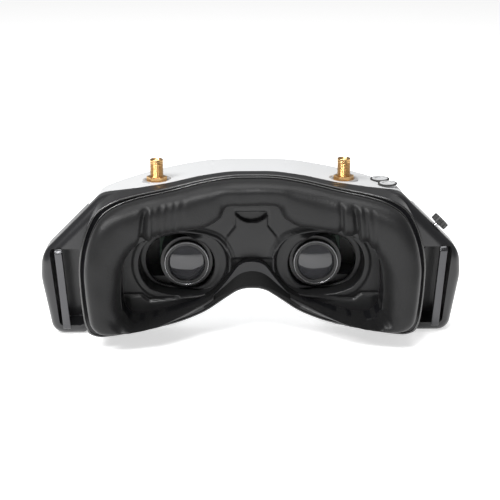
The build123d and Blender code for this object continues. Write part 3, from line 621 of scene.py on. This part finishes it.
def panel_relief(points):
    """How far the panel stands towards the wearer at each point, in mm."""
    relief = np.zeros(len(points))
    away, inside = distance(points, closed_ring(BRIDGE + mirrored(BRIDGE)))
    signed = np.where(inside, away, -away)
    relief += 0.45 * ramp(signed, -0.1, 0.4)
    relief -= 0.55 * bump_shape(signed, -0.35, 0.32)
    vent = VENT_R - np.hypot(points[:, 0], points[:, 1] - VENT_Z)
    relief -= VENT_DEEP * ramp(vent, -0.1, 0.5) * inside
    for side in (1, -1):
        local = points * np.array([side, 1])
        across = local[:, 0]
        ledge_away, _ = distance(local, LEDGE)
        below = local[:, 1] <= np.interp(across, [x for x, _ in LEDGE], [z for _, z in LEDGE])
        near = (across > LEDGE_FROM) & (across < LEDGE_TO)
        relief -= 0.8 * bump_shape(ledge_away, 0, 0.45) * near
        relief += 0.7 * ramp(ledge_away, 0.1, 0.8) * below * near * (1 - ramp(across, LEDGE_FADES, LEDGE_TO))
        cup_away, _ = distance(local, closed_ring(cup_ring(1)))
        relief += 0.9 * (1 - ramp(cup_away, 0.9, 1.5)) * (1 - ramp(across, 24, 38))
        relief += 0.35 * (1 - ramp(cup_away, 2.2, 2.9))
    return relief


def panel_plate(rim, cups):
    """The plate's points and triangles: an even grid between its rim and the recesses."""
    xs, zs = np.meshgrid(np.arange(*PLATE_X, PLATE_STEP), np.arange(*PLATE_Z, PLATE_STEP))
    grid = np.stack([xs.ravel(), zs.ravel()], axis=1)
    away, inside = distance(grid, closed_ring(rim))
    keep = inside & (away > PLATE_CLEAR)
    for cup in cups:
        away, within = distance(grid, closed_ring(cup))
        keep &= ~within & (away > PLATE_CLEAR)
    loops, start = [], 0
    for ring in [rim] + cups:
        loops += [(start + k, start + (k + 1) % len(ring)) for k in range(len(ring))]
        start += len(ring)
    points = [Vector(map(float, p)) for p in np.vstack([rim] + cups + [grid[keep]])]
    flat, _, triangles = delaunay_2d_cdt(points, loops, [], 0, 1e-6)[:3]
    flat = np.array(flat)
    middle = np.array([flat[list(t)].mean(axis=0) for t in triangles])
    good = distance(middle, closed_ring(rim))[1]
    for cup in cups:
        good &= ~distance(middle, closed_ring(cup))[1]
    return flat, [tuple(t) for t, ok in zip(triangles, good) if ok]


def recess_wall(side):
    """One recess's wall in rings, from its mouth to the opening that its eyepiece slides in."""
    cup = cup_ring(side)
    mouth_y = PLATE_Y - panel_relief(cup)
    nose = np.clip((CUP_X + CUP_HALF - side * cup[:, 0]) / NOSE_SPREAD - 0.2, 0, 1)   # 1 on the nose side
    floor_y = RECESS_FLOOR - NOSE_RISE * ramp(nose, 0.2, 1.0)
    opening = slot_ring(LENS_X + TRAVEL / 2, LENS_Z, TRAVEL / 2, CARRIAGE_R + CARRIAGE_GAP)
    inner = opening * np.array([side, 1])
    rings = []
    for inward, down in RECESS_PROFILE:
        ring = cup + (inner - cup) * inward
        ring_y = mouth_y + (floor_y - mouth_y) * min(down, 1) + max(0, down - 1) * TUBE
        rings.append(np.stack([ring[:, 0], ring_y, ring[:, 1]], axis=1))
    return np.vstack(rings)


def eye_panel():
    """The moulded panel: a sculpted plate with a stepped, sloping recess for each eye."""
    rim = grown(rounded_outline(INNER_OUTLINE, RIM_STEP)[:-1], RIM_GROWTH)
    flat, faces = panel_plate(rim, [cup_ring(side) for side in (1, -1)])
    verts = [np.stack([flat[:, 0], PLATE_Y - panel_relief(flat), flat[:, 1]], axis=1)]
    count = len(flat)
    for side in (1, -1):
        verts.append(recess_wall(side))
        for face in grid_faces(len(RECESS_PROFILE), RING_POINTS, wrap_cols=True):
            face = tuple(corner + count for corner in face)
            faces.append(face if side > 0 else face[::-1])
        count += len(verts[-1])
    panel = new_object("eye_panel_moulding", metres(np.vstack(verts)), faces, PANEL)
    weld = panel.modifiers.new("weld", "WELD")
    weld.merge_threshold = 0.00001
    skin = panel.modifiers.new("skin", "SOLIDIFY")
    skin.thickness, skin.offset = 0.0009, -1.0
    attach(panel, BODY)
    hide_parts("eye_panel", "bridge_cover")


eye_panel()


# ---- eyepieces ----------------------------------------------------------------------
CIRCLE_POINTS = 72
BEZEL_Y, BEZEL_R, BEZEL_BEAD = -4.05, 9.8, 0.17
STOP_Y, STOP_R, STOP_BEAD = -3.3, 8.6, 0.35


def circle(x, y, z, radius):
    """An upright circle that faces the wearer."""
    turn = full_turn(CIRCLE_POINTS)
    return np.stack([x + radius * np.cos(turn), np.full(len(turn), y), z + radius * np.sin(turn)], axis=1)


for side_name, side in SIDES:
    x, body = side * LENS_X, f"{side_name}_barrel"
    wire(f"lens_bezel_{side_name}", circle(x, BEZEL_Y, LENS_Z, BEZEL_R), BEZEL_BEAD, BEZEL,
         body=body)
    wire(f"lens_stop_{side_name}", circle(x, STOP_Y, LENS_Z, STOP_R), STOP_BEAD, BARREL,
         body=body)


# ---- strap bars ---------------------------------------------------------------------
BAR_FOOT_X, BAR_TOP_X, BAR_HALF_WIDTH, BAR_HALF_THICK = 83.4, 86.0, 1.75, 0.9
BAR_ROWS, BAR_AROUND, BAR_END_ROWS = 60, 24, 3


def squarish(wave):
    """A sine or cosine, pushed outwards so that the section is a rounded rectangle."""
    return np.sign(wave) * np.abs(wave) ** 0.35


def strap_bar(side_name, side):
    """A flat slanted bar whose rounded top end bends into the wing."""
    low, high = design_box(f"strap_bar_{side_name}")
    foot_x, top_x, y = BAR_FOOT_X * side, BAR_TOP_X * side, low[1] + 1.0
    spine = smooth_through([
        (foot_x, y + 1.4, low[2] + 0.4), (foot_x + side * 0.05, y + 0.2, low[2] + 1.6),
        (foot_x + side * 0.9, y, low[2] + 14), (top_x - side * 0.3, y, high[2] - 5),
        (top_x, y + 0.3, high[2] - 2.0), (top_x, y + 2.0, high[2] - 0.9)], BAR_ROWS)
    turn = full_turn(BAR_AROUND)
    ahead = np.gradient(spine, axis=0)
    ahead /= np.linalg.norm(ahead, axis=1, keepdims=True)
    rows = []
    for k, (place, way) in enumerate(zip(spine, ahead)):
        across = np.array([1.0, 0, 0]) - way * way[0]
        across /= np.linalg.norm(across)
        out = np.cross(way, across)
        end = min(1, min(k, BAR_ROWS - 1 - k) / BAR_END_ROWS)
        shrink = math.sqrt(max(0.02, 1 - (1 - end) ** 2))
        u = squarish(np.cos(turn)) * BAR_HALF_WIDTH * shrink
        w = squarish(np.sin(turn)) * BAR_HALF_THICK * shrink
        rows.append(place + u[:, None] * across + w[:, None] * out)
    points = np.array(rows)
    faces = grid_faces(BAR_ROWS, BAR_AROUND, wrap_cols=True) + end_caps(BAR_ROWS, BAR_AROUND)
    bar = new_object(f"strap_bar_metal_{side_name}", metres(points.reshape(-1, 3)), faces, GUNMETAL)
    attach(bar, BODY)
    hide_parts(f"strap_bar_{side_name}")


for side_name, side in SIDES:
    strap_bar(side_name, side)


# ---- antenna sockets ----------------------------------------------------------------
SMA_X, SMA_Y, SMA_R, SMA_SEAT, SMA_TOP, SMA_PITCH = 42.5, 11.0, 3.1, 68.4, 79.0, 0.7
THREAD_AROUND, THREAD_ROWS, THREAD_DEEP = 48, 110, 0.34
THREAD_LOW, THREAD_HIGH = SMA_SEAT + 2.4, SMA_TOP - 1.4
MOUTH = (   # radius and depth below the top: the plain collar, the insulator, then the centre hole
    (2.75, 1.25), (2.85, 1.05), (3.0, 0.9), (3.0, 0.25), (2.8, 0.02), (2.35, 0.02),
    (2.2, 0.2), (2.2, 0.8), (0.6, 0.8), (0.5, 1.4), (0.05, 1.4),
)


def threaded_socket(side_name, side):
    """A threaded barrel with a plain collar at its mouth, an insulator and a centre hole."""
    turn = np.arange(THREAD_AROUND) / THREAD_AROUND
    rows = []
    for z in np.linspace(THREAD_LOW, THREAD_HIGH, THREAD_ROWS):
        tooth = np.abs((z / SMA_PITCH - turn) % 1.0 * 2 - 1)
        fade = ramp(z, THREAD_LOW, THREAD_LOW + 0.5) * (1 - ramp(z, THREAD_HIGH - 0.7, THREAD_HIGH))
        rows.append((SMA_R - THREAD_DEEP * tooth * fade - 0.05, z))
    rows += [(np.full(THREAD_AROUND, radius), SMA_TOP - depth) for radius, depth in MOUTH]
    angle = 2 * math.pi * turn
    points = np.array([
        np.stack([side * SMA_X + radius * np.cos(angle), SMA_Y + radius * np.sin(angle),
                  np.full(THREAD_AROUND, z)], axis=1) for radius, z in rows])
    faces = grid_faces(len(points), THREAD_AROUND, wrap_cols=True)
    faces += [cap[::-1] for cap in end_caps(len(points), THREAD_AROUND)]
    socket = new_object(f"antenna_thread_{side_name}", metres(points.reshape(-1, 3)), faces, GOLD)
    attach(socket, BODY)
    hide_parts(f"sma_connector_{side_name}")


for side_name, side in SIDES:
    threaded_socket(side_name, side)


# ---- key rings: dark beads that paint the shade in the gap round each key -----------
KEYS = {"menu": (59.5, 14.5), "record": (62.0, 5.8)}
SHADE_RING_R, SHADE_RING_BEAD, SHADE_RING_DROP, SHADE_RING_POINTS = 4.05, 0.38, 0.35, 48

# each ring is a dark bead laid round a key as painted shade, where the gap round the key falls into shadow
for name, (x, y) in KEYS.items():
    turn = full_turn(SHADE_RING_POINTS)
    z = design_box(f"{name}_button")[1][2] - SHADE_RING_DROP
    ring = np.stack([x + SHADE_RING_R * np.cos(turn), y + SHADE_RING_R * np.sin(turn),
                     np.full(SHADE_RING_POINTS, z)], axis=1)
    wire(f"{name}_key_shade_ring", ring, SHADE_RING_BEAD, PART_BLACK)
